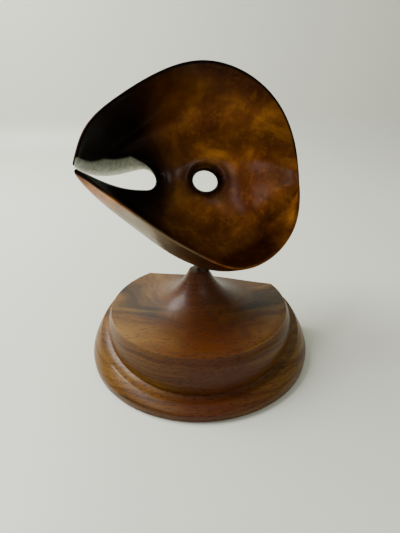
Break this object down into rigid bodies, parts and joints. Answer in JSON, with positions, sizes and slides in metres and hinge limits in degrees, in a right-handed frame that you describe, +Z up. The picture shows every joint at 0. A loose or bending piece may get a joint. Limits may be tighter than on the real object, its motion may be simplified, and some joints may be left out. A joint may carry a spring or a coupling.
{
  "type": "abstract metal sculpture",
  "caption": "Folded bronze dish with a slit, a drop-shaped opening and a round hole, standing on a short stem over a turned wooden base with a slender cone and a flat back.",
  "frame": {"origin": "on the underside of the wooden base, at the axis it was turned about", "axes": "+Z up from the surface it stands on, -Y towards the front where the dish opens, +X to the right as seen from the front"},
  "size_m": [0.201, 0.1951, 0.2465],
  "materials": {
    "bronze": "dark brown patina, polished, with paler rims",
    "wood": "oiled and polished, mid brown with dark figure"
  },
  "bodies": {
    "root": {"bronze_form": "bronze", "wooden_base": "wood"}
  },
  "joints": []
}
